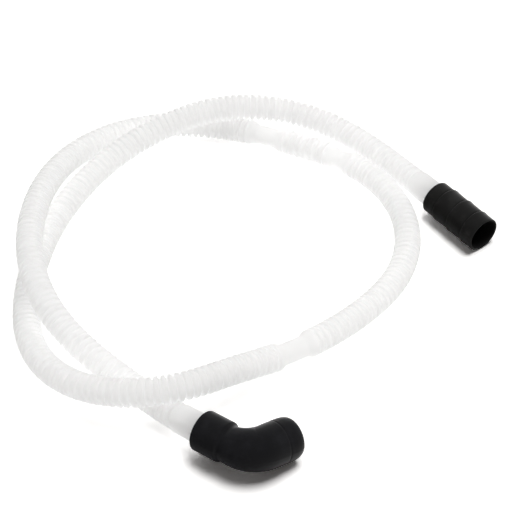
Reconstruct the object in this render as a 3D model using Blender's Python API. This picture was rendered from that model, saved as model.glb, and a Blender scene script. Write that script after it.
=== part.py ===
"""Dishwasher drain hose: a corrugated hose lying in loose loops, with a rubber elbow and a straight rubber cuff.

Metres, +Z up. The origin is on the floor, under the middle of the two fittings.
"""
import math

import bpy
import numpy as np
from mathutils import Euler, Vector

MM = 0.001

# Hose
HOSE_OD = 22.0 * MM
PLAIN_END_OD = 23.0 * MM
PLAIN_END_LENGTH = 42.0 * MM
PLAIN_END_TAPER = 2.0 * MM
HOSE_POINT_SPACING = 2.0 * HOSE_OD
HOSE_BEVEL_RESOLUTION = 4

# Fit of the hose's plain ends in the fittings
SOCKET_CLEARANCE = 0.3 * MM
SEAT_GAP = 0.3 * MM
SOCKET_DEPTH = 20.0 * MM

# Straight cuff
CUFF_LENGTH = 59.0 * MM
CUFF_LAND_RADII = (14.4 * MM, 14.9 * MM, 15.2 * MM)
CUFF_MOUTH_RADIUS = 15.4 * MM
CUFF_CREASES = (12.0 * MM, 28.5 * MM, 45.3 * MM)
CUFF_CREASE_DEPTH = 0.5 * MM
CUFF_CREASE_WIDTH = 0.9 * MM
CUFF_BORE_RADIUS = 10.6 * MM
CUFF_SPIGOT_RADIUS = 13.6 * MM
CUFF_SPIGOT_DEPTH = 24.0 * MM

# Elbow
ELBOW_INLET_LEG = 26.0 * MM
ELBOW_BEND_RADIUS = 22.0 * MM
ELBOW_BEND_ANGLE = math.radians(74.0)
ELBOW_OUTLET_LEG = 23.4 * MM
ELBOW_COLLAR_LENGTH = 22.0 * MM
ELBOW_COLLAR_RADIUS = 15.9 * MM
ELBOW_COLLAR_ROUNDING = 0.8 * MM
ELBOW_NECK_RADIUS = 13.8 * MM
ELBOW_BEND_TUBE_RADIUS = 16.2 * MM
ELBOW_SHOULDER_RADIUS = 16.8 * MM
ELBOW_CREASE_DEPTH = 0.4 * MM
ELBOW_CREASE_WIDTH = 0.8 * MM
ELBOW_MOUTH_RADIUS = 16.9 * MM
ELBOW_RIM_LENGTH = 14.0 * MM
ELBOW_ROUNDING_LENGTH = 9.0 * MM
ELBOW_ROUNDING_DEPTH = 3.0 * MM
ELBOW_BORE_RADIUS = 10.8 * MM
ELBOW_SPIGOT_RADIUS = 12.2 * MM
ELBOW_SPIGOT_DEPTH = 20.0 * MM

# Edges and facets
EDGE_BEVEL = 0.4 * MM
LIP_BEVEL = 0.3 * MM
SHOULDER_TAPER = 1.5 * MM
FITTING_SIDES = 48
STATION_STEP = 2.5 * MM

# Where the fittings lie on the floor: the centre of the end that holds the hose, and how the fitting is turned there.
# The elbow's inlet leg rises a little towards the bend, and the elbow is rolled so that its mouth dips to the floor.
CUFF_INLET = (76.3 * MM, 139.8 * MM)
CUFF_HEADING = math.radians(-52.0)
ELBOW_INLET = (-114.2 * MM, -115.1 * MM)
ELBOW_HEADING = math.radians(-36.5)
ELBOW_RISE = math.radians(5.0)
ELBOW_ROLL = math.radians(14.3)

# The hose's route between the two sockets, in millimetres, from the cuff to the elbow
ROUTE = (
    (46, 177.5, 15.5), (11, 211, 19.5), (-29, 230.5, 27), (-71, 236, 33), (-114, 230, 34.5),
    (-155, 214, 29.5), (-192, 189, 22.5), (-222, 154, 16.5), (-244, 110, 12), (-255, 59, 11.5),
    (-255, 3, 12.6), (-239, -46.2, 19.5), (-205, -80.6, 28.6), (-162.5, -92.8, 35.4), (-126, -87, 37),
    (-92.5, -69.3, 32.8), (-55.5, -45.3, 23.3), (-21, -20.1, 18.1), (12, 12, 13.5), (41, 54.5, 11.5),
    (50, 107.5, 11.5), (33, 156.5, 12.5), (-1.5, 191, 12), (-42, 213, 11.3), (-84, 230, 11.1),
    (-127.5, 238, 11.7), (-171, 231, 14.6), (-212, 206, 20), (-243, 162, 27), (-257, 105.5, 33),
    (-254, 46, 35), (-237, 0.5, 30), (-210, -32, 20.5), (-179, -58.1, 13.6), (-147.5, -85.4, 12.8),
)

MATERIALS = {
    "white_plastic": ((0.86, 0.87, 0.86, 1.0), 0.4),
    "black_rubber": ((0.03, 0.03, 0.033, 1.0), 0.65),
}


def material(name):
    """Returns the named material with its colour and roughness."""
    made = bpy.data.materials.new(name)
    made.use_nodes = True
    colour, roughness = MATERIALS[name]
    shader = made.node_tree.nodes["Principled BSDF"]
    shader.inputs["Base Color"].default_value = colour
    shader.inputs["Roughness"].default_value = roughness
    return made


def place(name, data, material_name, location=(0.0, 0.0, 0.0), rotation=(0.0, 0.0, 0.0)):
    """Links a named object with its material and placement."""
    item = bpy.data.objects.new(name, data)
    item.data.materials.append(material(material_name))
    item.location = location
    item.rotation_euler = rotation
    bpy.context.collection.objects.link(item)
    return item


def centreline(distance, inlet_leg, bend_radius, bend_angle):
    """Returns the point and the direction at a distance along a straight leg, a level bend and a straight leg."""
    if distance <= inlet_leg:
        return np.array((distance, 0.0, 0.0)), 0.0
    turned = min((distance - inlet_leg) / bend_radius, bend_angle)
    point = np.array((inlet_leg + bend_radius * math.sin(turned), bend_radius * (1.0 - math.cos(turned)), 0.0))
    rest = distance - inlet_leg - bend_radius * turned
    return point + rest * np.array((math.cos(turned), math.sin(turned), 0.0)), turned


def fine_stations(stations):
    """Splits long steps of a profile of (distance, radius) so that no step is longer than STATION_STEP."""
    fine = [stations[0]]
    for (d0, r0), (d1, r1) in zip(stations, stations[1:]):
        count = max(1, math.ceil(abs(d1 - d0) / STATION_STEP))
        for i in range(1, count + 1):
            share = i / count
            fine.append((d0 + (d1 - d0) * share, r0 + (r1 - r0) * share))
    return fine


def hollow_body(name, outside, inside, inlet_leg, bend_radius=0.0, bend_angle=0.0):
    """Builds one closed hollow body: the outside profile from inlet to mouth, then the inside one back to the inlet."""
    profile = fine_stations(outside + inside)
    angles = [2.0 * math.pi * i / FITTING_SIDES for i in range(FITTING_SIDES)]
    verts = []
    for distance, radius in profile:
        point, turned = centreline(distance, inlet_leg, bend_radius, bend_angle)
        side = np.array((-math.sin(turned), math.cos(turned), 0.0))
        for angle in angles:
            verts.append(point + radius * (math.cos(angle) * side + math.sin(angle) * np.array((0.0, 0.0, 1.0))))
    faces = []
    rings = len(profile)
    for i in range(rings):
        a = i * FITTING_SIDES
        b = (i + 1) % rings * FITTING_SIDES
        for j in range(FITTING_SIDES):
            k = (j + 1) % FITTING_SIDES
            faces.append((a + j, a + k, b + k, b + j))
    mesh = bpy.data.meshes.new(name)
    mesh.from_pydata([tuple(v) for v in verts], [], faces)
    mesh.validate()
    return mesh


def socket_profile(mouth, bore_radius, spigot_radius, spigot_depth):
    """Returns the inside profile from the mouth back to the inlet: spigot socket, bore and the hose's socket."""
    hose_socket_radius = PLAIN_END_OD / 2.0 + SOCKET_CLEARANCE
    shoulder = mouth - spigot_depth
    return [
        (mouth, spigot_radius + LIP_BEVEL),
        (mouth - LIP_BEVEL, spigot_radius),
        (shoulder, spigot_radius),
        (shoulder - SHOULDER_TAPER, bore_radius),
        (SOCKET_DEPTH, bore_radius),
        (SOCKET_DEPTH, hose_socket_radius),
        (EDGE_BEVEL, hose_socket_radius),
        (0.0, hose_socket_radius + EDGE_BEVEL / 2.0),
    ]


def cuff_mesh():
    """Builds the straight cuff along +X, with its stepped lands."""
    outside = [(0.0, CUFF_LAND_RADII[0] - EDGE_BEVEL), (EDGE_BEVEL, CUFF_LAND_RADII[0])]
    radii = CUFF_LAND_RADII + (CUFF_MOUTH_RADIUS,)
    for crease, before, after in zip(CUFF_CREASES, radii, radii[1:]):
        outside.append((crease - CUFF_CREASE_WIDTH, before))
        outside.append((crease, before - CUFF_CREASE_DEPTH))
        outside.append((crease + CUFF_CREASE_WIDTH, after))
    outside.append((CUFF_LENGTH - EDGE_BEVEL, CUFF_MOUTH_RADIUS))
    outside.append((CUFF_LENGTH, CUFF_MOUTH_RADIUS - EDGE_BEVEL))
    inside = socket_profile(CUFF_LENGTH, CUFF_BORE_RADIUS, CUFF_SPIGOT_RADIUS, CUFF_SPIGOT_DEPTH)
    return hollow_body("straight_cuff", outside, inside, CUFF_LENGTH)


def elbow_mesh():
    """Builds the elbow, with its inlet leg along +X and its bend towards +Y."""
    total = ELBOW_INLET_LEG + ELBOW_BEND_RADIUS * ELBOW_BEND_ANGLE + ELBOW_OUTLET_LEG
    crease = total - ELBOW_RIM_LENGTH
    outside = [
        (0.0, ELBOW_COLLAR_RADIUS - ELBOW_COLLAR_ROUNDING),
        (ELBOW_COLLAR_ROUNDING * 0.3, ELBOW_COLLAR_RADIUS - ELBOW_COLLAR_ROUNDING * 0.3),
        (ELBOW_COLLAR_ROUNDING, ELBOW_COLLAR_RADIUS),
        (ELBOW_COLLAR_LENGTH - EDGE_BEVEL, ELBOW_COLLAR_RADIUS),
        (ELBOW_COLLAR_LENGTH, ELBOW_COLLAR_RADIUS - EDGE_BEVEL),
    ]
    # The tube swells along a smooth curve from the neck, by way of the bend, to the shoulder
    swell = crease - ELBOW_CREASE_WIDTH - ELBOW_COLLAR_LENGTH - EDGE_BEVEL
    for i in range(9):
        share = i / 8.0
        radius = (
            ELBOW_NECK_RADIUS * (1.0 - share) * (1.0 - 2.0 * share)
            + ELBOW_BEND_TUBE_RADIUS * 4.0 * share * (1.0 - share)
            + ELBOW_SHOULDER_RADIUS * share * (2.0 * share - 1.0)
        )
        outside.append((ELBOW_COLLAR_LENGTH + EDGE_BEVEL + swell * share, radius))
    outside.append((crease, ELBOW_SHOULDER_RADIUS - ELBOW_CREASE_DEPTH))
    outside.append((crease + ELBOW_CREASE_WIDTH, ELBOW_MOUTH_RADIUS))
    for i in range(7):
        angle = math.pi / 2.0 * i / 6.0
        distance = total - ELBOW_ROUNDING_LENGTH * (1.0 - math.sin(angle))
        outside.append((distance, ELBOW_MOUTH_RADIUS - ELBOW_ROUNDING_DEPTH * (1.0 - math.cos(angle))))
    inside = socket_profile(total, ELBOW_BORE_RADIUS, ELBOW_SPIGOT_RADIUS, ELBOW_SPIGOT_DEPTH)
    return hollow_body("elbow_connector", outside, inside, ELBOW_INLET_LEG, ELBOW_BEND_RADIUS, ELBOW_BEND_ANGLE)


def lie_on_floor(mesh, inlet, rotation):
    """Returns the inlet's centre at the height where a fitting, turned as it lies, just touches the floor."""
    turn = Euler(rotation).to_matrix()
    return np.array((inlet[0], inlet[1], -min((turn @ vertex.co).z for vertex in mesh.vertices)))


def socket_line(start, rotation):
    """Returns the hose's seat in a fitting's socket and the direction of the socket."""
    way = np.array(Euler(rotation).to_matrix() @ Vector((1.0, 0.0, 0.0)))
    return start + way * (SOCKET_DEPTH - SEAT_GAP), way


def spline(points, start_way, end_way):
    """Returns distances and slopes of a smooth cubic curve through the points, with given end directions."""
    chords = np.linalg.norm(np.diff(points, axis=0), axis=1)
    along = np.concatenate([[0.0], np.cumsum(chords)])
    count = len(points)
    system = np.zeros((count, count))
    right = np.zeros((count, 3))
    system[0, 0] = 1.0
    system[-1, -1] = 1.0
    right[0] = start_way
    right[-1] = end_way
    for i in range(1, count - 1):
        before = chords[i - 1]
        after = chords[i]
        system[i, i - 1] = after
        system[i, i] = 2.0 * (before + after)
        system[i, i + 1] = before
        rise_before = (points[i] - points[i - 1]) / before
        rise_after = (points[i + 1] - points[i]) / after
        right[i] = 3.0 * (after * rise_before + before * rise_after)
    return along, np.linalg.solve(system, right)


def curve_point(points, along, slopes, distance):
    """Returns the point of the cubic curve at a distance along its chords."""
    i = min(max(int(np.searchsorted(along, distance)) - 1, 0), len(points) - 2)
    chord = along[i + 1] - along[i]
    t = (distance - along[i]) / chord
    near = (1.0 + 2.0 * t) * (1.0 - t) ** 2 * points[i] + t ** 2 * (3.0 - 2.0 * t) * points[i + 1]
    return near + t * (1.0 - t) * ((1.0 - t) * slopes[i] - t * slopes[i + 1]) * chord


def hose_curve(cuff_start, cuff_rotation, elbow_start, elbow_rotation):
    """Builds the plain hose as a round tube on straight steps of the smooth route."""
    cuff_seat, cuff_way = socket_line(cuff_start, cuff_rotation)
    elbow_seat, elbow_way = socket_line(elbow_start, elbow_rotation)
    points = np.array([cuff_seat, cuff_start, *(np.array(p) * MM for p in ROUTE), elbow_start, elbow_seat])
    along, slopes = spline(points, -cuff_way, elbow_way)
    first = PLAIN_END_LENGTH + PLAIN_END_TAPER
    last = along[-1] - first
    steps = math.ceil((last - first) / HOSE_POINT_SPACING)
    plain = [(0.0, PLAIN_END_OD), (along[1], PLAIN_END_OD), (PLAIN_END_LENGTH, PLAIN_END_OD)]
    stations = plain + [(station, HOSE_OD) for station in np.linspace(first, last, steps + 1)]
    stations += [(along[-1] - PLAIN_END_LENGTH, PLAIN_END_OD), (along[-2], PLAIN_END_OD), (along[-1], PLAIN_END_OD)]
    data = bpy.data.curves.new("drain_hose", "CURVE")
    data.dimensions = "3D"
    data.resolution_u = 1
    data.bevel_depth = HOSE_OD / 2.0
    data.bevel_resolution = HOSE_BEVEL_RESOLUTION
    data.use_fill_caps = True
    line = data.splines.new("POLY")
    line.points.add(len(stations) - 1)
    for point, (station, diameter) in zip(line.points, stations):
        point.co = (*curve_point(points, along, slopes, station), 1.0)
        point.radius = diameter / HOSE_OD
    return data


def main():
    """Builds the three pieces."""
    for item in list(bpy.data.objects):
        bpy.data.objects.remove(item, do_unlink=True)
    cuff = cuff_mesh()
    cuff_rotation = (0.0, 0.0, CUFF_HEADING)
    cuff_start = lie_on_floor(cuff, CUFF_INLET, cuff_rotation)
    elbow = elbow_mesh()
    elbow_rotation = (-ELBOW_ROLL, -ELBOW_RISE, ELBOW_HEADING)
    elbow_start = lie_on_floor(elbow, ELBOW_INLET, elbow_rotation)
    place("drain_hose", hose_curve(cuff_start, cuff_rotation, elbow_start, elbow_rotation), "white_plastic")
    place("elbow_connector", elbow, "black_rubber", elbow_start, elbow_rotation)
    place("straight_cuff", cuff, "black_rubber", cuff_start, cuff_rotation)


main()
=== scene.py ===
"""Dishwasher drain hose: a corrugated hose in loose loops, with a rubber elbow and a straight rubber cuff."""

import math

import bpy
import numpy as np
from mathutils import Euler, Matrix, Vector


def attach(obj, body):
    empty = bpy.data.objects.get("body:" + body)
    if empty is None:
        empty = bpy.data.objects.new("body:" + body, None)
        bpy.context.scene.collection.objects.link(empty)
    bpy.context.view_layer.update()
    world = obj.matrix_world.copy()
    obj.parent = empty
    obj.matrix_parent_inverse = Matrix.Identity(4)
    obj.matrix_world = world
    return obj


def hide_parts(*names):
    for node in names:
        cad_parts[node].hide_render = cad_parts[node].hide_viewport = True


bl_info = {
    "name": "Dishwasher Drain Hose",
    "version": (1, 0, 0),
    "blender": (4, 5, 0),
    "location": "View3D > Sidebar > Drain Hose",
    "description": "Builds the corrugated drain hose, its rubber elbow and cuff, and the studio around them",
    "category": "Object",
}

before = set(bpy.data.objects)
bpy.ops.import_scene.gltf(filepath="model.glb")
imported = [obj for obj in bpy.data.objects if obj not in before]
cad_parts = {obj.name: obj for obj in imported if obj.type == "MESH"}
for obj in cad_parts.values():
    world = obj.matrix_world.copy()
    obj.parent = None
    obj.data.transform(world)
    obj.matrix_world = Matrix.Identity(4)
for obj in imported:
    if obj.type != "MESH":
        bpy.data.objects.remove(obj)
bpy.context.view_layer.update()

MM = 0.001

# The hose's route between its two sockets, in metres, from the cuff to the elbow
ROUTE = [
    (0.0460, 0.1775, 0.0155), (0.0110, 0.2110, 0.0195), (-0.0290, 0.2305, 0.0270),
    (-0.0710, 0.2360, 0.0330), (-0.1140, 0.2300, 0.0345), (-0.1550, 0.2140, 0.0295),
    (-0.1920, 0.1890, 0.0225), (-0.2220, 0.1540, 0.0165), (-0.2440, 0.1100, 0.0120),
    (-0.2550, 0.0590, 0.0115), (-0.2550, 0.0030, 0.0126), (-0.2390, -0.0462, 0.0195),
    (-0.2050, -0.0806, 0.0286), (-0.1625, -0.0928, 0.0354), (-0.1260, -0.0870, 0.0370),
    (-0.0925, -0.0693, 0.0328), (-0.0555, -0.0453, 0.0233), (-0.0210, -0.0201, 0.0181),
    (0.0120, 0.0120, 0.0135), (0.0410, 0.0545, 0.0115), (0.0500, 0.1075, 0.0115),
    (0.0330, 0.1565, 0.0125), (-0.0015, 0.1910, 0.0120), (-0.0420, 0.2130, 0.0113),
    (-0.0840, 0.2300, 0.0111), (-0.1275, 0.2380, 0.0117), (-0.1710, 0.2310, 0.0146),
    (-0.2120, 0.2060, 0.0200), (-0.2430, 0.1620, 0.0270), (-0.2570, 0.1055, 0.0330),
    (-0.2540, 0.0460, 0.0350), (-0.2370, 0.0005, 0.0300), (-0.2100, -0.0320, 0.0205),
    (-0.1790, -0.0581, 0.0136), (-0.1475, -0.0854, 0.0128),
]

# Start and end of each smooth neck, in metres along the hose from its end in the cuff
NECKS = [(0.8044, 0.8384), (1.0971, 1.1191), (1.1640, 1.1950)]

# One corrugation: offsets from the middle of its groove, in pitches, and shares of the groove's depth
CORRUGATION = [
    (-0.50, 0.0), (-0.27, 0.02), (-0.205, 0.14), (-0.15, 0.86), (-0.10, 1.0),
    (0.10, 1.0), (0.15, 0.86), (0.205, 0.14), (0.27, 0.02),
]

# How finely the meshes are divided
HOSE_SIDES = 26
CUFF_SIDES = 96
ELBOW_SIDES = 120
ROUTE_SAMPLES = 6000
CORD_POINTS = 700
PLAIN_END_RINGS = 9
NECK_RINGS = 5
TAPER_STEPS = 8
EDGE_STEPS = 5
BEND_STEPS = 24
ROUNDING_STEPS = 12

# The hose's ends: the hollow that the sockets hide, the tip of its closed bottom, and the wall's chamfer
HOLLOW_DEPTH = 15.0 * MM
HOLLOW_TIP = 0.2 * MM
END_CHAMFER = 0.3 * MM

# How much of the grooves' painted paler colour, which lifts their shade, the smooth necks take
NECK_TINT = 0.1

# The cuff's radius at either end and the size of each end's rounded edge
CUFF_START_RADIUS = 14.4 * MM
CUFF_START_EDGE = 0.8 * MM
CUFF_MOUTH_RADIUS = 15.0 * MM
CUFF_MOUTH_EDGE = 0.9 * MM

# The cuff's three lands: where the crease of each lies, and the radii before it, at its ridge and after it
CUFF_LANDS = (
    (12.0 * MM, {"before": 14.3 * MM, "ridge": 15.25 * MM, "after": 14.85 * MM}),
    (28.5 * MM, {"before": 14.5 * MM, "ridge": 15.4 * MM, "after": 15.0 * MM}),
    (45.3 * MM, {"before": 14.7 * MM, "ridge": 15.4 * MM, "after": 15.05 * MM}),
)

# The skin across a crease: millimetres from it, the radius counted from, millimetres out, and how much paler it
# is coloured
CREASE_SHAPE = (
    (-2.0, "before", 0.05, 0.0), (-0.9, "before", 0.0, 0.0), (-0.35, "before", -0.35, 0.0),
    (0.0, "before", -0.75, 0.0), (0.25, "before", -0.6, 0.0), (0.5, "ridge", -0.5, 0.0),
    (0.9, "ridge", -0.12, 0.3), (1.5, "ridge", 0.0, 0.6), (2.4, "ridge", -0.06, 0.5),
    (4.0, "after", 0.1, 0.3), (6.0, "after", 0.0, 0.1),
)

# The elbow's bare pad: its middle and half its size, along the elbow and round it, and its sides' steepness
PAD_MIDDLE = 35.0 * MM
PAD_HALF_LENGTH = 9.0 * MM
PAD_TURN = math.radians(97.0)
PAD_HALF_TURN = math.radians(29.0)
PAD_STEEPNESS = 4.0

# Half the width of the elbow's parting line, as a share of its radius
SEAM_WIDTH = 0.045

# Sizes of the patterns in the materials, as repeats per metre
WAX_SCALE = 38.0
PLASTIC_GRAIN_SCALE = 1400.0
BLOOM_SCALE = 55.0
RUBBER_GRAIN_SCALE = 900.0

# Strengths of those patterns: how dull the wax is and how much of it shows, how pale the bloom is against
# the rubber, how much paler the edges are coloured, and how far the painted sheen leans from straight up
# towards +X
WAX_TONE = 0.93
WAX_SHARE = 0.35
BLOOM_TONE = 2.6
EDGE_PALENESS = 0.02
PAINTED_SHEEN_LEAN = 0.85

# The round floor, and the lamp's place as seen from the target, its side and its colour, in metres
FLOOR_RADIUS = 6.0
FLOOR_SIDES = 64
LAMP_OFFSET = Vector((0.84, 0.24, 4.4))
LAMP_SIDE = 2.1
LAMP_COLOUR = (1.0, 0.995, 0.985)

# The surroundings: the light that they give, and the white that they show
AMBIENT_COLOUR = (1.0, 0.95, 0.92)
WHITE = (1.0, 1.0, 1.0)

# The camera: its sensor's width in millimetres, and how far it sees in metres
SENSOR_WIDTH = 36.0
VIEW_END = 50.0


def length_setting(name, description, value):
    """Returns a property for a length in metres."""
    return bpy.props.FloatProperty(
        name=name, description=description, default=value, subtype="DISTANCE", unit="LENGTH", precision=5
    )


def angle_setting(name, description, degrees):
    """Returns a property for an angle."""
    return bpy.props.FloatProperty(
        name=name, description=description, default=math.radians(degrees), subtype="ANGLE", unit="ROTATION"
    )


def place_setting(name, description, value):
    """Returns a property for a point in metres."""
    return bpy.props.FloatVectorProperty(
        name=name, description=description, default=value, size=3,
        subtype="TRANSLATION", unit="LENGTH", precision=5,
    )


def colour_setting(name, description, value):
    """Returns a property for a linear colour."""
    return bpy.props.FloatVectorProperty(
        name=name, description=description, default=value, size=3, min=0.0, max=1.0, subtype="COLOR"
    )


def share_setting(name, description, value):
    """Returns a property for a share from 0 to 1."""
    return bpy.props.FloatProperty(
        name=name, description=description, default=value, min=0.0, max=1.0, subtype="FACTOR"
    )


class HoseSettings(bpy.types.PropertyGroup):
    """Sizes and colours of the corrugated hose."""

    outer_diameter: length_setting("Outer diameter", "Diameter over the corrugations", 22.0 * MM)
    groove_depth: length_setting("Groove depth", "Depth of a groove below the crests", 2.0 * MM)
    pitch: length_setting("Pitch", "Distance from one crest to the next", 5.5 * MM)
    plain_diameter: length_setting("Plain end diameter", "Diameter of the smooth ends", 23.0 * MM)
    plain_length: length_setting("Plain end length", "Length of each smooth end, from its tip", 42.0 * MM)
    neck_diameter: length_setting("Neck diameter", "Diameter of the three smooth necks", 17.0 * MM)
    neck_taper: length_setting("Neck taper", "Length over which a neck widens at each end", 8.0 * MM)
    wall: length_setting("Wall", "Thickness of the wall at the open ends", 1.0 * MM)
    seat_gap: length_setting("Seat gap", "Gap between an end and the bottom of its socket", 0.3 * MM)
    crest_colour: colour_setting("Crest colour", "Colour of the crests", (0.92, 0.92, 0.92))
    # Painted light: the grooves are coloured paler than the crests to lift the shade that falls in them
    groove_painted_light_colour: colour_setting("Groove colour", "Colour at the bottom of the grooves", (0.935, 0.935, 0.933))
    glow_colour: colour_setting("Glow colour", "Colour of the light that comes through", (0.95, 0.95, 0.95))
    translucency: share_setting("Translucency", "Share of the light that passes through the wall", 0.5)
    shadow_light: share_setting("Light in the shadow", "Share of lamp light that a wall lets through", 0.6)


class CuffSettings(bpy.types.PropertyGroup):
    """Sizes, place and colour of the straight cuff."""

    inlet: place_setting("Inlet", "Centre of the end over the hose", (76.3 * MM, 139.8 * MM, 15.4 * MM))
    heading: angle_setting("Heading", "The way the cuff points, turned from +X", -52.0)
    length: length_setting("Length", "Length from end to end", 59.0 * MM)
    socket_depth: length_setting("Socket depth", "Depth of the hose's socket", 20.0 * MM)
    socket_radius: length_setting("Socket radius", "Radius of the hose's socket", 11.8 * MM)
    bore_radius: length_setting("Bore radius", "Radius of the bore between the sockets", 10.6 * MM)
    spigot_radius: length_setting("Spigot radius", "Radius of the open socket", 13.2 * MM)
    spigot_depth: length_setting("Spigot depth", "Depth of the open socket", 24.0 * MM)
    colour: colour_setting("Colour", "Colour of the cuff's rubber", (0.0112, 0.0111, 0.0109))


class ElbowSettings(bpy.types.PropertyGroup):
    """Sizes, place and colour of the elbow."""

    inlet: place_setting("Inlet", "Centre of the end over the hose", (-114.2 * MM, -115.1 * MM, 19.945 * MM))
    heading: angle_setting("Heading", "The way the inlet leg points, turned from +X", -36.5)
    rise: angle_setting("Rise", "How steeply the inlet leg rises towards the bend", 5.0)
    roll: angle_setting("Roll", "How far the elbow is rolled to let its mouth dip to the floor", 14.3)
    inlet_leg: length_setting("Inlet leg", "Length of the straight leg before the bend", 26.0 * MM)
    bend_radius: length_setting("Bend radius", "Radius of the bend's centreline", 22.0 * MM)
    bend_angle: angle_setting("Bend angle", "Angle that the elbow turns through", 74.0)
    outlet_leg: length_setting("Outlet leg", "Length of the straight leg after the bend", 23.4 * MM)
    collar_length: length_setting("Collar length", "Length of the collar over the hose", 22.0 * MM)
    collar_radius: length_setting("Collar radius", "Radius of the collar", 15.9 * MM)
    neck_radius: length_setting("Neck radius", "Radius just behind the collar", 13.8 * MM)
    bend_tube_radius: length_setting("Bend tube radius", "Radius of the tube in the bend", 16.2 * MM)
    shoulder_radius: length_setting("Shoulder radius", "Radius just before the rim", 16.8 * MM)
    mouth_radius: length_setting("Mouth radius", "Radius of the rim at the open end", 16.9 * MM)
    rim_length: length_setting("Rim length", "Length of the rim at the open end", 14.0 * MM)
    rounding_length: length_setting("Rounding length", "How far back the rim's rounded end begins", 9.0 * MM)
    rounding_depth: length_setting("Rounding depth", "How far in the rim's rounded end comes", 3.0 * MM)
    socket_depth: length_setting("Socket depth", "Depth of the hose's socket", 20.0 * MM)
    socket_radius: length_setting("Socket radius", "Radius of the hose's socket", 11.8 * MM)
    bore_radius: length_setting("Bore radius", "Radius of the bore between the sockets", 10.8 * MM)
    spigot_radius: length_setting("Spigot radius", "Radius of the open socket", 12.2 * MM)
    spigot_depth: length_setting("Spigot depth", "Depth of the open socket", 20.0 * MM)
    pad_height: length_setting("Pad height", "Height of the bare raised pad behind the collar", 0.25 * MM)
    seam_height: length_setting("Seam height", "Height of the moulding's parting line", 0.12 * MM)
    colour: colour_setting("Colour", "Colour of the elbow's rubber", (0.0074, 0.0075, 0.0087))


class StudioSettings(bpy.types.PropertyGroup):
    """Camera, lamp and floor."""

    target: place_setting("Target", "Point on the floor that the camera looks at", (-75.0 * MM, 84.5 * MM, 0.0))
    distance: length_setting("Distance", "Distance from the camera to its target", 1.323)
    pitch: angle_setting("Pitch", "How far the camera looks down", 45.0)
    lens: bpy.props.FloatProperty(
        name="Lens", description="Focal length on a 36 mm sensor, in millimetres", default=112.5
    )
    floor_colour: colour_setting("Floor colour", "Colour of the pale floor", (0.92, 0.92, 0.92))
    floor_white: bpy.props.FloatProperty(
        name="Floor white", description="How bright the floor's colour is for the camera",
        default=1.57, min=0.0,
    )
    ambient: bpy.props.FloatProperty(
        name="Ambient", description="Strength of the light from all round", default=0.11, min=0.0
    )
    back_power: bpy.props.FloatProperty(
        name="Back lamp", description="Power of the large lamp above and behind",
        default=142.0, min=0.0, subtype="POWER", unit="POWER",
    )


class Value:
    """A number that varies over a surface: one socket, used in plain Python expressions."""

    def __init__(self, nodes, socket):
        self.nodes = nodes
        self.socket = socket

    def maths(self, operation, *inputs):
        """Adds one Math node and returns its result."""
        node = self.nodes.node("ShaderNodeMath", {"operation": operation}, dict(enumerate(inputs)))
        return Value(self.nodes, node.outputs[0])

    def __add__(self, other):
        return self.maths("ADD", self, other)

    def __radd__(self, other):
        return self.maths("ADD", other, self)

    def __sub__(self, other):
        return self.maths("SUBTRACT", self, other)

    def __rsub__(self, other):
        return self.maths("SUBTRACT", other, self)

    def __mul__(self, other):
        return self.maths("MULTIPLY", self, other)

    def __rmul__(self, other):
        return self.maths("MULTIPLY", other, self)

    def between(self, low, high):
        """Rises smoothly from 0 at low to 1 at high."""
        settings = {"interpolation_type": "SMOOTHSTEP"}
        sockets = {"Value": self, "From Min": low, "From Max": high}
        node = self.nodes.node("ShaderNodeMapRange", settings, sockets)
        return Value(self.nodes, node.outputs["Result"])


class Nodes:
    """The node tree of one material or world."""

    def __init__(self, tree):
        self.tree = tree
        tree.nodes.clear()

    def node(self, kind, settings=None, sockets=None):
        """Adds a node: its settings first, then the values or links of its sockets."""
        made = self.tree.nodes.new(kind)
        for name, value in (settings or {}).items():
            setattr(made, name, value)
        for name, value in (sockets or {}).items():
            if isinstance(value, Value):
                value = value.socket
            if isinstance(value, bpy.types.NodeSocket):
                self.tree.links.new(value, made.inputs[name])
            else:
                made.inputs[name].default_value = value
        return made

    def attribute(self, name):
        """Returns a mesh attribute as a value."""
        return Value(self, self.node("ShaderNodeAttribute", {"attribute_name": name}).outputs["Fac"])

    def noise(self, where, scale, detail=2.0, roughness=0.5):
        """Adds a noise texture and returns it as a value from 0 to 1."""
        sockets = {"Vector": where, "Scale": scale, "Detail": detail, "Roughness": roughness}
        return Value(self, self.node("ShaderNodeTexNoise", {}, sockets).outputs[0])

    def blend(self, share, first, second):
        """Mixes two colours and returns the colour's socket."""
        colours = [c if isinstance(c, bpy.types.NodeSocket) else (*c, 1.0) for c in (first, second)]
        made = self.node("ShaderNodeMix", {"data_type": "RGBA"}, {0: share, 6: colours[0], 7: colours[1]})
        return made.outputs[2]

    def mix(self, share, first, second):
        """Mixes the first outputs of two shader nodes and returns the mixing node."""
        return self.node("ShaderNodeMixShader", {}, {0: share, 1: first.outputs[0], 2: second.outputs[0]})


def new_material(name):
    """Returns a new material and its node tree."""
    made = bpy.data.materials.new(name)
    made.use_nodes = True
    return made, Nodes(made.node_tree)


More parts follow.
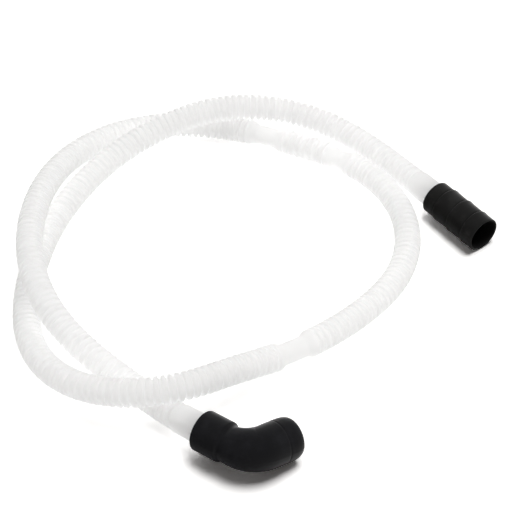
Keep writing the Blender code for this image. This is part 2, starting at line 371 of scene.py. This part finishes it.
def hose_plastic(settings):
    """Milky white plastic that lets light through, painted a little paler in its grooves to lift the shade
    there, and faintly uneven.
    """
    made, nodes = new_material("milky_hose_plastic")
    where = nodes.node("ShaderNodeTexCoord").outputs["Object"]
    wax = nodes.noise(where, WAX_SCALE, 3.0)
    # Painted light: grooves get a paler colour than crests, lifting their shade
    grooves_painted_paler = nodes.blend(nodes.attribute("groove"), settings.crest_colour, settings.groove_painted_light_colour)
    dull = tuple(WAX_TONE * c for c in settings.crest_colour)
    waxy = nodes.blend(wax.between(0.45, 0.75) * WAX_SHARE, grooves_painted_paler, dull)
    grain = nodes.noise(where, PLASTIC_GRAIN_SCALE, 2.0)
    bump = nodes.node("ShaderNodeBump", {}, {"Strength": 0.08, "Distance": 0.0001, "Height": grain})
    skin = nodes.node("ShaderNodeBsdfPrincipled", {}, {
        "Base Color": waxy,
        "Roughness": 0.5 + 0.12 * wax,
        "Normal": bump.outputs[0],
        "Specular IOR Level": 0.2,
        "Subsurface Weight": 1.0,
        "Subsurface Radius": (1.0, 1.0, 1.0),
        "Subsurface Scale": 0.03,
        "IOR": 1.49,
    })
    glow = nodes.node("ShaderNodeBsdfTranslucent", {}, {"Color": (*settings.glow_colour, 1.0)})
    wall = nodes.mix(settings.translucency, skin, glow)
    shadow = Value(nodes, nodes.node("ShaderNodeLightPath").outputs["Is Shadow Ray"])
    clear = nodes.node("ShaderNodeBsdfTransparent")
    lit = nodes.mix(shadow * settings.shadow_light, wall, clear)
    nodes.node("ShaderNodeOutputMaterial", {}, {"Surface": lit.outputs[0]})
    return made


def rubber(name, colour, bloom):
    """Black moulded rubber with a matte grain, a pale bloom in patches and a painted sheen: a coat laid only on
    its upper side, strongest towards +X, where the lamp stands.
    """
    made, nodes = new_material(name)
    where = nodes.node("ShaderNodeTexCoord").outputs["Object"]
    normal = nodes.node("ShaderNodeTexCoord").outputs["Normal"]
    facing = nodes.node("ShaderNodeSeparateXYZ", {}, {0: normal}).outputs
    # Painted sheen: the coat is laid only on faces turned up and towards the lamp at +X, as a painted highlight
    painted_sheen_side = Value(nodes, facing["Z"]) + PAINTED_SHEEN_LEAN * Value(nodes, facing["X"])
    patches = nodes.noise(where, BLOOM_SCALE, 4.0, 0.6)
    share = patches.between(0.42, 0.72) * bloom + nodes.attribute("edge") * EDGE_PALENESS
    bloom_and_pale_edges = nodes.blend(share, colour, tuple(BLOOM_TONE * c for c in colour))
    grain = nodes.noise(where, RUBBER_GRAIN_SCALE, 3.0, 0.6)
    bump = nodes.node("ShaderNodeBump", {}, {"Strength": 0.22, "Distance": 0.0002, "Height": grain})
    shader = nodes.node("ShaderNodeBsdfPrincipled", {}, {
        "Base Color": bloom_and_pale_edges,
        "Roughness": 0.46 + 0.14 * patches,
        "Normal": bump.outputs[0],
        "Specular IOR Level": 0.03,
        "Coat Weight": painted_sheen_side.between(-0.3, 0.7),
        "Coat Roughness": 0.3,
        "Coat IOR": 1.13,
    })
    nodes.node("ShaderNodeOutputMaterial", {}, {"Surface": shader.outputs[0]})
    return made


class SmoothRoute:
    """The hose's centreline: one smooth curve through the route's points, read by its length."""

    def __init__(self, points, start_way, end_way):
        self.points = points
        self.chords = np.linalg.norm(np.diff(points, axis=0), axis=1)
        self.along = np.concatenate([[0.0], np.cumsum(self.chords)])
        self.slopes = self.solve(start_way, end_way)
        samples = np.linspace(0.0, self.along[-1], ROUTE_SAMPLES)
        self.where = np.array([self.point(s) for s in samples])
        steps = np.linalg.norm(np.diff(self.where, axis=0), axis=1)
        self.arc = np.concatenate([[0.0], np.cumsum(steps)])
        self.ways = np.gradient(self.where, axis=0)
        self.ways /= np.linalg.norm(self.ways, axis=1)[:, None]

    def solve(self, start_way, end_way):
        """Returns the slopes at the points that make the curve's bend continuous."""
        count = len(self.points)
        system = np.eye(count)
        right = np.zeros((count, 3))
        right[0] = start_way
        right[-1] = end_way
        for i in range(1, count - 1):
            before, after = self.chords[i - 1], self.chords[i]
            system[i, i - 1 : i + 2] = after, 2.0 * (before + after), before
            rises = np.diff(self.points[i - 1 : i + 2], axis=0)
            right[i] = 3.0 * (after * rises[0] / before + before * rises[1] / after)
        return np.linalg.solve(system, right)

    def point(self, distance):
        """Returns the point at a distance along the chords."""
        i = min(max(int(np.searchsorted(self.along, distance)) - 1, 0), len(self.points) - 2)
        chord = self.chords[i]
        t = (distance - self.along[i]) / chord
        near = (1.0 + 2.0 * t) * (1.0 - t) ** 2 * self.points[i] + t ** 2 * (3.0 - 2.0 * t) * self.points[i + 1]
        return near + t * (1.0 - t) * ((1.0 - t) * self.slopes[i] - t * self.slopes[i + 1]) * chord

    def at(self, length):
        """Returns the points and directions at lengths along the hose."""
        where = np.stack([np.interp(length, self.arc, self.where[:, k]) for k in range(3)], axis=-1)
        ways = np.stack([np.interp(length, self.arc, self.ways[:, k]) for k in range(3)], axis=-1)
        return where, ways / np.linalg.norm(ways, axis=-1)[..., None]


def ring_angles(sides):
    """Returns the angles of the points of one ring."""
    return 2.0 * math.pi * np.arange(sides) / sides


def tube_faces(rings, sides, closed):
    """Returns a tube's faces, with its last ring joined to its first or with a cap at each end."""
    count = rings if closed else rings - 1
    faces = []
    for i in range(count):
        near, far = i * sides, (i + 1) % rings * sides
        for j in range(sides):
            k = (j + 1) % sides
            faces.append((near + j, near + k, far + k, far + j))
    if not closed:
        faces.append(tuple(range(sides))[::-1])
        faces.append(tuple((rings - 1) * sides + j for j in range(sides)))
    return faces


def tube_mesh(name, centres, ways, radii, sides, attribute, values, closed, relief=0.0):
    """Builds a tube of rings, closed on itself or capped, with one attribute and a relief on its radii."""
    up = np.array((0.0, 0.0, 1.0))
    side = np.cross(up, ways)
    side /= np.linalg.norm(side, axis=1)[:, None]
    over = np.cross(ways, side)
    angles = ring_angles(sides)[None, :, None]
    spread = np.repeat(radii[:, None], sides, axis=1) + relief
    outward = np.cos(angles) * side[:, None, :] + np.sin(angles) * over[:, None, :]
    verts = (centres[:, None, :] + spread[..., None] * outward).reshape(-1, 3)
    mesh = bpy.data.meshes.new(name)
    mesh.from_pydata(verts.tolist(), [], tube_faces(len(centres), sides, closed))
    mesh.validate()
    mesh.shade_smooth()
    data = mesh.attributes.new(attribute, "FLOAT", "POINT")
    data.data.foreach_set("value", np.repeat(np.clip(values, 0.0, 1.0), sides).astype(np.float32))
    item = bpy.data.objects.new(name, mesh)
    bpy.context.scene.collection.objects.link(item)
    return item


def heading_vector(heading):
    """Returns the level direction of a heading."""
    return np.array((math.cos(heading), math.sin(heading), 0.0))


def elbow_turn(elbow):
    """Returns the elbow's rotation as it lies; before it, the inlet leg is along +X and the bend goes to +Y."""
    return np.array(Euler((-elbow.roll, -elbow.rise, elbow.heading)).to_matrix())


def open_end(settings):
    """Returns the rings of the hose's first end: its hollow, the edge of its wall and its smooth outside."""
    plain = settings.plain_diameter / 2.0
    bore = plain - settings.wall
    rings = [
        (HOLLOW_DEPTH, HOLLOW_TIP, 1.0),
        (HOLLOW_DEPTH, bore, 1.0),
        (0.4 * MM, bore, 0.5),
        (0.0, bore + END_CHAMFER, 0.0),
        (0.0, plain - END_CHAMFER, 0.0),
        (0.5 * MM, plain, 0.0),
    ]
    smooth = np.linspace(4.0 * MM, settings.plain_length - 1.5 * MM, PLAIN_END_RINGS)
    return rings + [(s, plain, 0.0) for s in smooth]


def corrugated_stretch(settings, start, end):
    """Returns the rings of a whole number of corrugations between two lengths along the hose."""
    crest = settings.outer_diameter / 2.0
    count = round((end - start) / settings.pitch)
    pitch = (end - start) / count
    rings = []
    for i in range(count):
        middle = start + (i + 0.5) * pitch
        for offset, sink in CORRUGATION:
            rings.append((middle + offset * pitch, crest - settings.groove_depth * sink, sink))
    return rings + [(end, crest, 0.0)]


def smooth_neck(settings, start, end):
    """Returns the rings of one smooth neck: it narrows, runs straight and widens again."""
    crest = settings.outer_diameter / 2.0
    neck = settings.neck_diameter / 2.0
    taper = settings.neck_taper
    shares = [i / TAPER_STEPS for i in range(1, TAPER_STEPS + 1)]
    fall = [(taper * t, crest - (crest - neck) * t * t * (3.0 - 2.0 * t), NECK_TINT * t) for t in shares]
    straight = np.linspace(start + taper + 1.0 * MM, end - taper - 1.0 * MM, NECK_RINGS)
    rings = [(start + distance, radius, tint) for distance, radius, tint in fall]
    rings += [(s, neck, NECK_TINT) for s in straight]
    return rings + [(end - distance, radius, tint) for distance, radius, tint in reversed(fall)]


def hose_profile(settings, total):
    """Returns the hose's rings: lengths along it, radii and how deep each lies in a groove, from 0 to 1."""
    first_end = open_end(settings)
    rings = list(first_end)
    start = settings.plain_length
    for neck_start, neck_end in NECKS:
        rings += corrugated_stretch(settings, start, neck_start)
        rings += smooth_neck(settings, neck_start, neck_end)
        start = neck_end
    rings += corrugated_stretch(settings, start, total - settings.plain_length)
    return rings + [(total - s, radius, sink) for s, radius, sink in reversed(first_end)]


class DRAINHOSE_OT_hose(bpy.types.Operator):
    """Builds the corrugated hose along its route, with smooth ends and necks"""

    bl_idname = "drain_hose.hose"
    bl_label = "Corrugated hose"

    def execute(self, context):
        settings = context.scene.drain_hose
        cuff = context.scene.drain_cuff
        elbow = context.scene.drain_elbow
        cuff_way = heading_vector(cuff.heading)
        elbow_way = elbow_turn(elbow)[:, 0]
        cuff_seat = np.array(cuff.inlet) + cuff_way * (cuff.socket_depth - settings.seat_gap)
        elbow_seat = np.array(elbow.inlet) + elbow_way * (elbow.socket_depth - settings.seat_gap)
        points = np.array([cuff_seat, np.array(cuff.inlet), *ROUTE, np.array(elbow.inlet), elbow_seat])
        route = SmoothRoute(points, -cuff_way, elbow_way)
        total = float(route.arc[-1])
        lengths, radii, sink = (np.array(column) for column in zip(*hose_profile(settings, total)))
        where, ways = route.at(lengths)
        item = tube_mesh("corrugated_hose", where, ways, radii, HOSE_SIDES, "groove", sink, False)
        item.data.materials.append(hose_plastic(settings))
        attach(item, "root")
        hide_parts("drain_hose")
        line, _ = route.at(np.linspace(0.0, total, CORD_POINTS))
        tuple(cuff.inlet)
        return {"FINISHED"}


def refined(stations, step):
    """Splits the long steps of a profile of (distance, radius, edge) into equal parts."""
    fine = [stations[0]]
    for a, b in zip(stations, stations[1:]):
        count = max(1, math.ceil(abs(b[0] - a[0]) / step))
        fine += [tuple(p + (q - p) * i / count for p, q in zip(a, b)) for i in range(1, count + 1)]
    return fine


def start_edge(radius, size):
    """Returns the rounded outer edge at a fitting's first end."""
    turns = [math.pi / 2.0 * i / EDGE_STEPS for i in range(EDGE_STEPS + 1)]
    return [(size - size * math.cos(a), radius - size + size * math.sin(a), 1.0) for a in turns]


def end_edge(end, radius, size):
    """Returns the rounded outer edge at a fitting's far end."""
    turns = [math.pi / 2.0 * i / EDGE_STEPS for i in range(EDGE_STEPS + 1)]
    return [(end - size + size * math.sin(a), radius - size + size * math.cos(a), 1.0) for a in turns]


def inside_profile(piece, end, lip):
    """Returns the inside of a fitting from its open mouth back to the hose's end."""
    shoulder = end - piece.spigot_depth
    return [
        (end, piece.spigot_radius + lip, 1.0),
        (end - 0.4 * lip, piece.spigot_radius + 0.35 * lip, 0.6),
        (end - lip, piece.spigot_radius, 0.2),
        (shoulder, piece.spigot_radius, 0.0),
        (shoulder - 1.5 * MM, piece.bore_radius, 0.0),
        (piece.socket_depth, piece.bore_radius, 0.0),
        (piece.socket_depth, piece.socket_radius, 0.0),
        (0.5 * MM, piece.socket_radius, 0.5),
        (0.0, piece.socket_radius + 0.3 * MM, 1.0),
    ]


def bent_line(distances, inlet_leg, bend_radius, bend_angle):
    """Returns points and directions along a straight leg on +X, a bend towards +Y and a straight leg."""
    where, ways = [], []
    for d in distances:
        turned = min(max(d - inlet_leg, 0.0) / bend_radius, bend_angle)
        rest = d - min(d, inlet_leg) - bend_radius * turned
        x = min(d, inlet_leg) + bend_radius * math.sin(turned) + rest * math.cos(turned)
        y = bend_radius * (1.0 - math.cos(turned)) + rest * math.sin(turned)
        where.append((x, y, 0.0))
        ways.append(heading_vector(turned))
    return np.array(where), np.array(ways)


def lay(item, turn, inlet):
    """Moves a fitting's mesh from its own frame to where it lies."""
    flat = np.empty(len(item.data.vertices) * 3)
    item.data.vertices.foreach_get("co", flat)
    moved = flat.reshape(-1, 3) @ np.array(turn).T + np.array(inlet)
    item.data.vertices.foreach_set("co", moved.ravel())
    item.data.update()


def cuff_profile(piece):
    """Returns the cuff's profile, along its outside and back along its inside."""
    end = piece.length
    stations = start_edge(CUFF_START_RADIUS, CUFF_START_EDGE)
    for crease, radii in CUFF_LANDS:
        for along, base, out, edge_paleness in CREASE_SHAPE:
            stations.append((crease + along * MM, radii[base] + out * MM, edge_paleness))
    stations.append((end - 2.0 * MM, CUFF_MOUTH_RADIUS, 0.2))
    stations += end_edge(end, CUFF_MOUTH_RADIUS, CUFF_MOUTH_EDGE)
    stations += inside_profile(piece, end, CUFF_MOUTH_EDGE)
    return refined(stations, 1.6 * MM)


class DRAINHOSE_OT_cuff(bpy.types.Operator):
    """Builds the straight rubber cuff with its stepped lands and open mouth"""

    bl_idname = "drain_hose.cuff"
    bl_label = "Straight cuff"

    def execute(self, context):
        piece = context.scene.drain_cuff
        distances, radii, edge = (np.array(column) for column in zip(*cuff_profile(piece)))
        where, ways = bent_line(distances, piece.length, piece.length, 0.0)
        item = tube_mesh("rubber_cuff", where, ways, radii, CUFF_SIDES, "edge", edge, True)
        lay(item, Euler((0.0, 0.0, piece.heading)).to_matrix(), piece.inlet)
        item.data.materials.append(rubber("cuff_rubber", tuple(piece.colour), 0.55))
        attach(item, "root")
        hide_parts("straight_cuff")
        return {"FINISHED"}


def elbow_profile(piece, end):
    """Returns the elbow's profile, along its outside to its end and back along its inside."""
    collar = piece.collar_length
    crease = end - piece.rim_length
    stations = start_edge(piece.collar_radius, 1.2 * MM)
    stations += [
        (collar - 1.2 * MM, piece.collar_radius, 0.0),
        (collar - 0.5 * MM, piece.collar_radius - 0.12 * MM, 0.5),
        (collar, piece.collar_radius - 0.55 * MM, 0.3),
        (collar + 0.5 * MM, piece.neck_radius + 0.75 * MM, 0.0),
        (collar + 1.1 * MM, piece.neck_radius + 0.25 * MM, 0.0),
    ]
    start = collar + 1.8 * MM
    length = crease - 1.0 * MM - start
    for i in range(BEND_STEPS + 1):
        share = i / BEND_STEPS
        radius = (
            piece.neck_radius * (1.0 - share) * (1.0 - 2.0 * share)
            + piece.bend_tube_radius * 4.0 * share * (1.0 - share)
            + piece.shoulder_radius * share * (2.0 * share - 1.0)
        )
        stations.append((start + length * share, radius, 0.0))
    stations += [
        (crease - 0.4 * MM, piece.shoulder_radius - 0.1 * MM, 0.0),
        (crease, piece.shoulder_radius - 0.25 * MM, 0.0),
        (crease + 0.4 * MM, piece.shoulder_radius - 0.1 * MM, 0.0),
        (crease + 1.0 * MM, piece.mouth_radius - 0.03 * MM, 0.2),
        (crease + 1.6 * MM, piece.mouth_radius, 0.1),
    ]
    for i in range(ROUNDING_STEPS + 1):
        angle = math.pi / 2.0 * i / ROUNDING_STEPS
        distance = end - piece.rounding_length * (1.0 - math.sin(angle))
        radius = piece.mouth_radius - piece.rounding_depth * (1.0 - math.cos(angle))
        # The outer part of the rounded end is coloured paler through the edge attribute
        edge_paleness = 0.8 * max(0.0, 3.0 * i / ROUNDING_STEPS - 2.0)
        stations.append((distance, radius, edge_paleness))
    stations += inside_profile(piece, end, 0.3 * MM)
    return refined(stations, 1.2 * MM)


def elbow_relief(piece, distances, outside):
    """Returns how far the bare pad and the parting line on both sides stand out of the elbow's outside."""
    angles = ring_angles(ELBOW_SIDES)
    along = np.clip(1.0 - ((distances - PAD_MIDDLE) / PAD_HALF_LENGTH) ** 4, 0.0, 1.0)
    turn = (angles - PAD_TURN + math.pi) % (2.0 * math.pi) - math.pi
    across = np.clip(1.0 - (turn / PAD_HALF_TURN) ** 4, 0.0, 1.0)
    pad = np.clip(PAD_STEEPNESS * along[:, None] * across[None, :], 0.0, 1.0) * piece.pad_height
    seam = np.exp(-((np.sin(angles)[None, :] / SEAM_WIDTH) ** 2)) * piece.seam_height
    return (pad + seam) * outside[:, None]


class DRAINHOSE_OT_elbow(bpy.types.Operator):
    """Builds the rubber elbow with its collar, bend, bare pad and thick rim"""

    bl_idname = "drain_hose.elbow"
    bl_label = "Elbow"

    def execute(self, context):
        piece = context.scene.drain_elbow
        end = piece.inlet_leg + piece.bend_radius * piece.bend_angle + piece.outlet_leg
        distances, radii, edge = (np.array(column) for column in zip(*elbow_profile(piece, end)))
        outside = np.arange(len(distances)) <= np.argmax(distances >= end)
        where, ways = bent_line(distances, piece.inlet_leg, piece.bend_radius, piece.bend_angle)
        relief = elbow_relief(piece, distances, outside)
        item = tube_mesh("rubber_elbow", where, ways, radii, ELBOW_SIDES, "edge", edge, True, relief)
        lay(item, elbow_turn(piece), piece.inlet)
        item.data.materials.append(rubber("elbow_rubber", tuple(piece.colour), 0.5))
        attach(item, "root")
        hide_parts("elbow_connector")
        return {"FINISHED"}


def seen_directly(nodes):
    """Returns 1 for rays that show the background: direct, in a reflection or through a clear piece."""
    path = nodes.node("ShaderNodeLightPath")
    seen = Value(nodes, path.outputs["Is Camera Ray"])
    for name in ("Is Glossy Ray", "Is Transmission Ray"):
        seen = seen.maths("MAXIMUM", seen, Value(nodes, path.outputs[name]))
    return seen


def lamp(name, place, target, power):
    """Adds one square soft lamp that faces a target and leaves no highlight of its own."""
    data = bpy.data.lights.new(name, "AREA")
    data.shape = "SQUARE"
    data.size = LAMP_SIDE
    data.energy = power
    data.color = LAMP_COLOUR
    item = bpy.data.objects.new(name, data)
    item.location = place
    item.rotation_euler = (target - place).to_track_quat("-Z", "Y").to_euler()
    item.visible_glossy = False
    bpy.context.scene.collection.objects.link(item)


def floor_material(colour, white):
    """Pale matte floor that the camera sees as white, with the object's shadows kept."""
    made, nodes = new_material("pale_floor")
    plain = nodes.node("ShaderNodeBsdfDiffuse", {}, {"Color": (*colour, 1.0)})
    bright = nodes.node("ShaderNodeBsdfDiffuse", {}, {"Color": (white, white, white, 1.0)})
    shown = nodes.mix(seen_directly(nodes), plain, bright)
    nodes.node("ShaderNodeOutputMaterial", {}, {"Surface": shown.outputs[0]})
    return made


def pale_floor(studio):
    """Adds the round floor."""
    mesh = bpy.data.meshes.new("pale_floor")
    rim = [(FLOOR_RADIUS * math.cos(a), FLOOR_RADIUS * math.sin(a), 0.0) for a in ring_angles(FLOOR_SIDES)]
    mesh.from_pydata(rim, [], [tuple(range(FLOOR_SIDES))])
    mesh.materials.append(floor_material(tuple(studio.floor_colour), studio.floor_white))
    floor = bpy.data.objects.new("pale_floor", mesh)
    bpy.context.scene.collection.objects.link(floor)


def white_surroundings(strength):
    """Adds a world that looks white and lights the object faintly from all round."""
    world = bpy.data.worlds.new("white_studio")
    world.use_nodes = True
    nodes = Nodes(world.node_tree)
    ambient = nodes.node("ShaderNodeBackground", {}, {"Color": (*AMBIENT_COLOUR, 1.0), "Strength": strength})
    shown = nodes.node("ShaderNodeBackground", {}, {"Color": (*WHITE, 1.0), "Strength": 1.0})
    mixed = nodes.mix(seen_directly(nodes), ambient, shown)
    nodes.node("ShaderNodeOutputWorld", {}, {"Surface": mixed.outputs[0]})
    bpy.context.scene.world = world


def photo_camera(studio, target):
    """Adds the camera, which looks down at the target from the front."""
    data = bpy.data.cameras.new("camera")
    data.sensor_width = SENSOR_WIDTH
    data.lens = studio.lens
    data.clip_end = VIEW_END
    camera = bpy.data.objects.new("camera", data)
    back = Vector((0.0, -math.cos(studio.pitch), math.sin(studio.pitch)))
    camera.location = target + studio.distance * back
    camera.rotation_euler = (math.pi / 2.0 - studio.pitch, 0.0, 0.0)
    bpy.context.scene.collection.objects.link(camera)
    bpy.context.scene.camera = camera


class DRAINHOSE_OT_studio(bpy.types.Operator):
    """Builds the pale floor, the soft lamp, the white surroundings and the camera"""

    bl_idname = "drain_hose.studio"
    bl_label = "Studio"

    def execute(self, context):
        studio = context.scene.drain_studio
        context.scene.view_settings.view_transform = "Standard"
        target = Vector(studio.target)
        pale_floor(studio)
        lamp("back_lamp", target + LAMP_OFFSET, target, studio.back_power)
        white_surroundings(studio.ambient)
        photo_camera(studio, target)
        return {"FINISHED"}


class DRAINHOSE_PT_panel(bpy.types.Panel):
    """Lists the settings and the builders in the sidebar"""

    bl_idname = "DRAINHOSE_PT_panel"
    bl_label = "Drain Hose"
    bl_space_type = "VIEW_3D"
    bl_region_type = "UI"
    bl_category = "Drain Hose"

    def draw(self, context):
        groups = (
            ("drain_hose.hose", context.scene.drain_hose),
            ("drain_hose.cuff", context.scene.drain_cuff),
            ("drain_hose.elbow", context.scene.drain_elbow),
            ("drain_hose.studio", context.scene.drain_studio),
        )
        for builder, settings in groups:
            box = self.layout.box()
            box.operator(builder)
            for name in settings.__annotations__:
                box.prop(settings, name)


SETTINGS = {
    "drain_hose": HoseSettings,
    "drain_cuff": CuffSettings,
    "drain_elbow": ElbowSettings,
    "drain_studio": StudioSettings,
}
OPERATORS = (DRAINHOSE_OT_studio, DRAINHOSE_OT_hose, DRAINHOSE_OT_cuff, DRAINHOSE_OT_elbow)


def register():
    """Registers the settings, the builders and the panel."""
    for kind in (*SETTINGS.values(), *OPERATORS, DRAINHOSE_PT_panel):
        bpy.utils.register_class(kind)
    for name, kind in SETTINGS.items():
        setattr(bpy.types.Scene, name, bpy.props.PointerProperty(type=kind))


def unregister():
    """Takes the settings, the builders and the panel away again."""
    for name in SETTINGS:
        delattr(bpy.types.Scene, name)
    for kind in (DRAINHOSE_PT_panel, *reversed(OPERATORS), *reversed(list(SETTINGS.values()))):
        bpy.utils.unregister_class(kind)


def main():
    """Builds everything in order."""
    register()
    bpy.ops.drain_hose.studio()
    bpy.ops.drain_hose.hose()
    bpy.ops.drain_hose.cuff()
    bpy.ops.drain_hose.elbow()


if __name__ == "__main__":
    main()
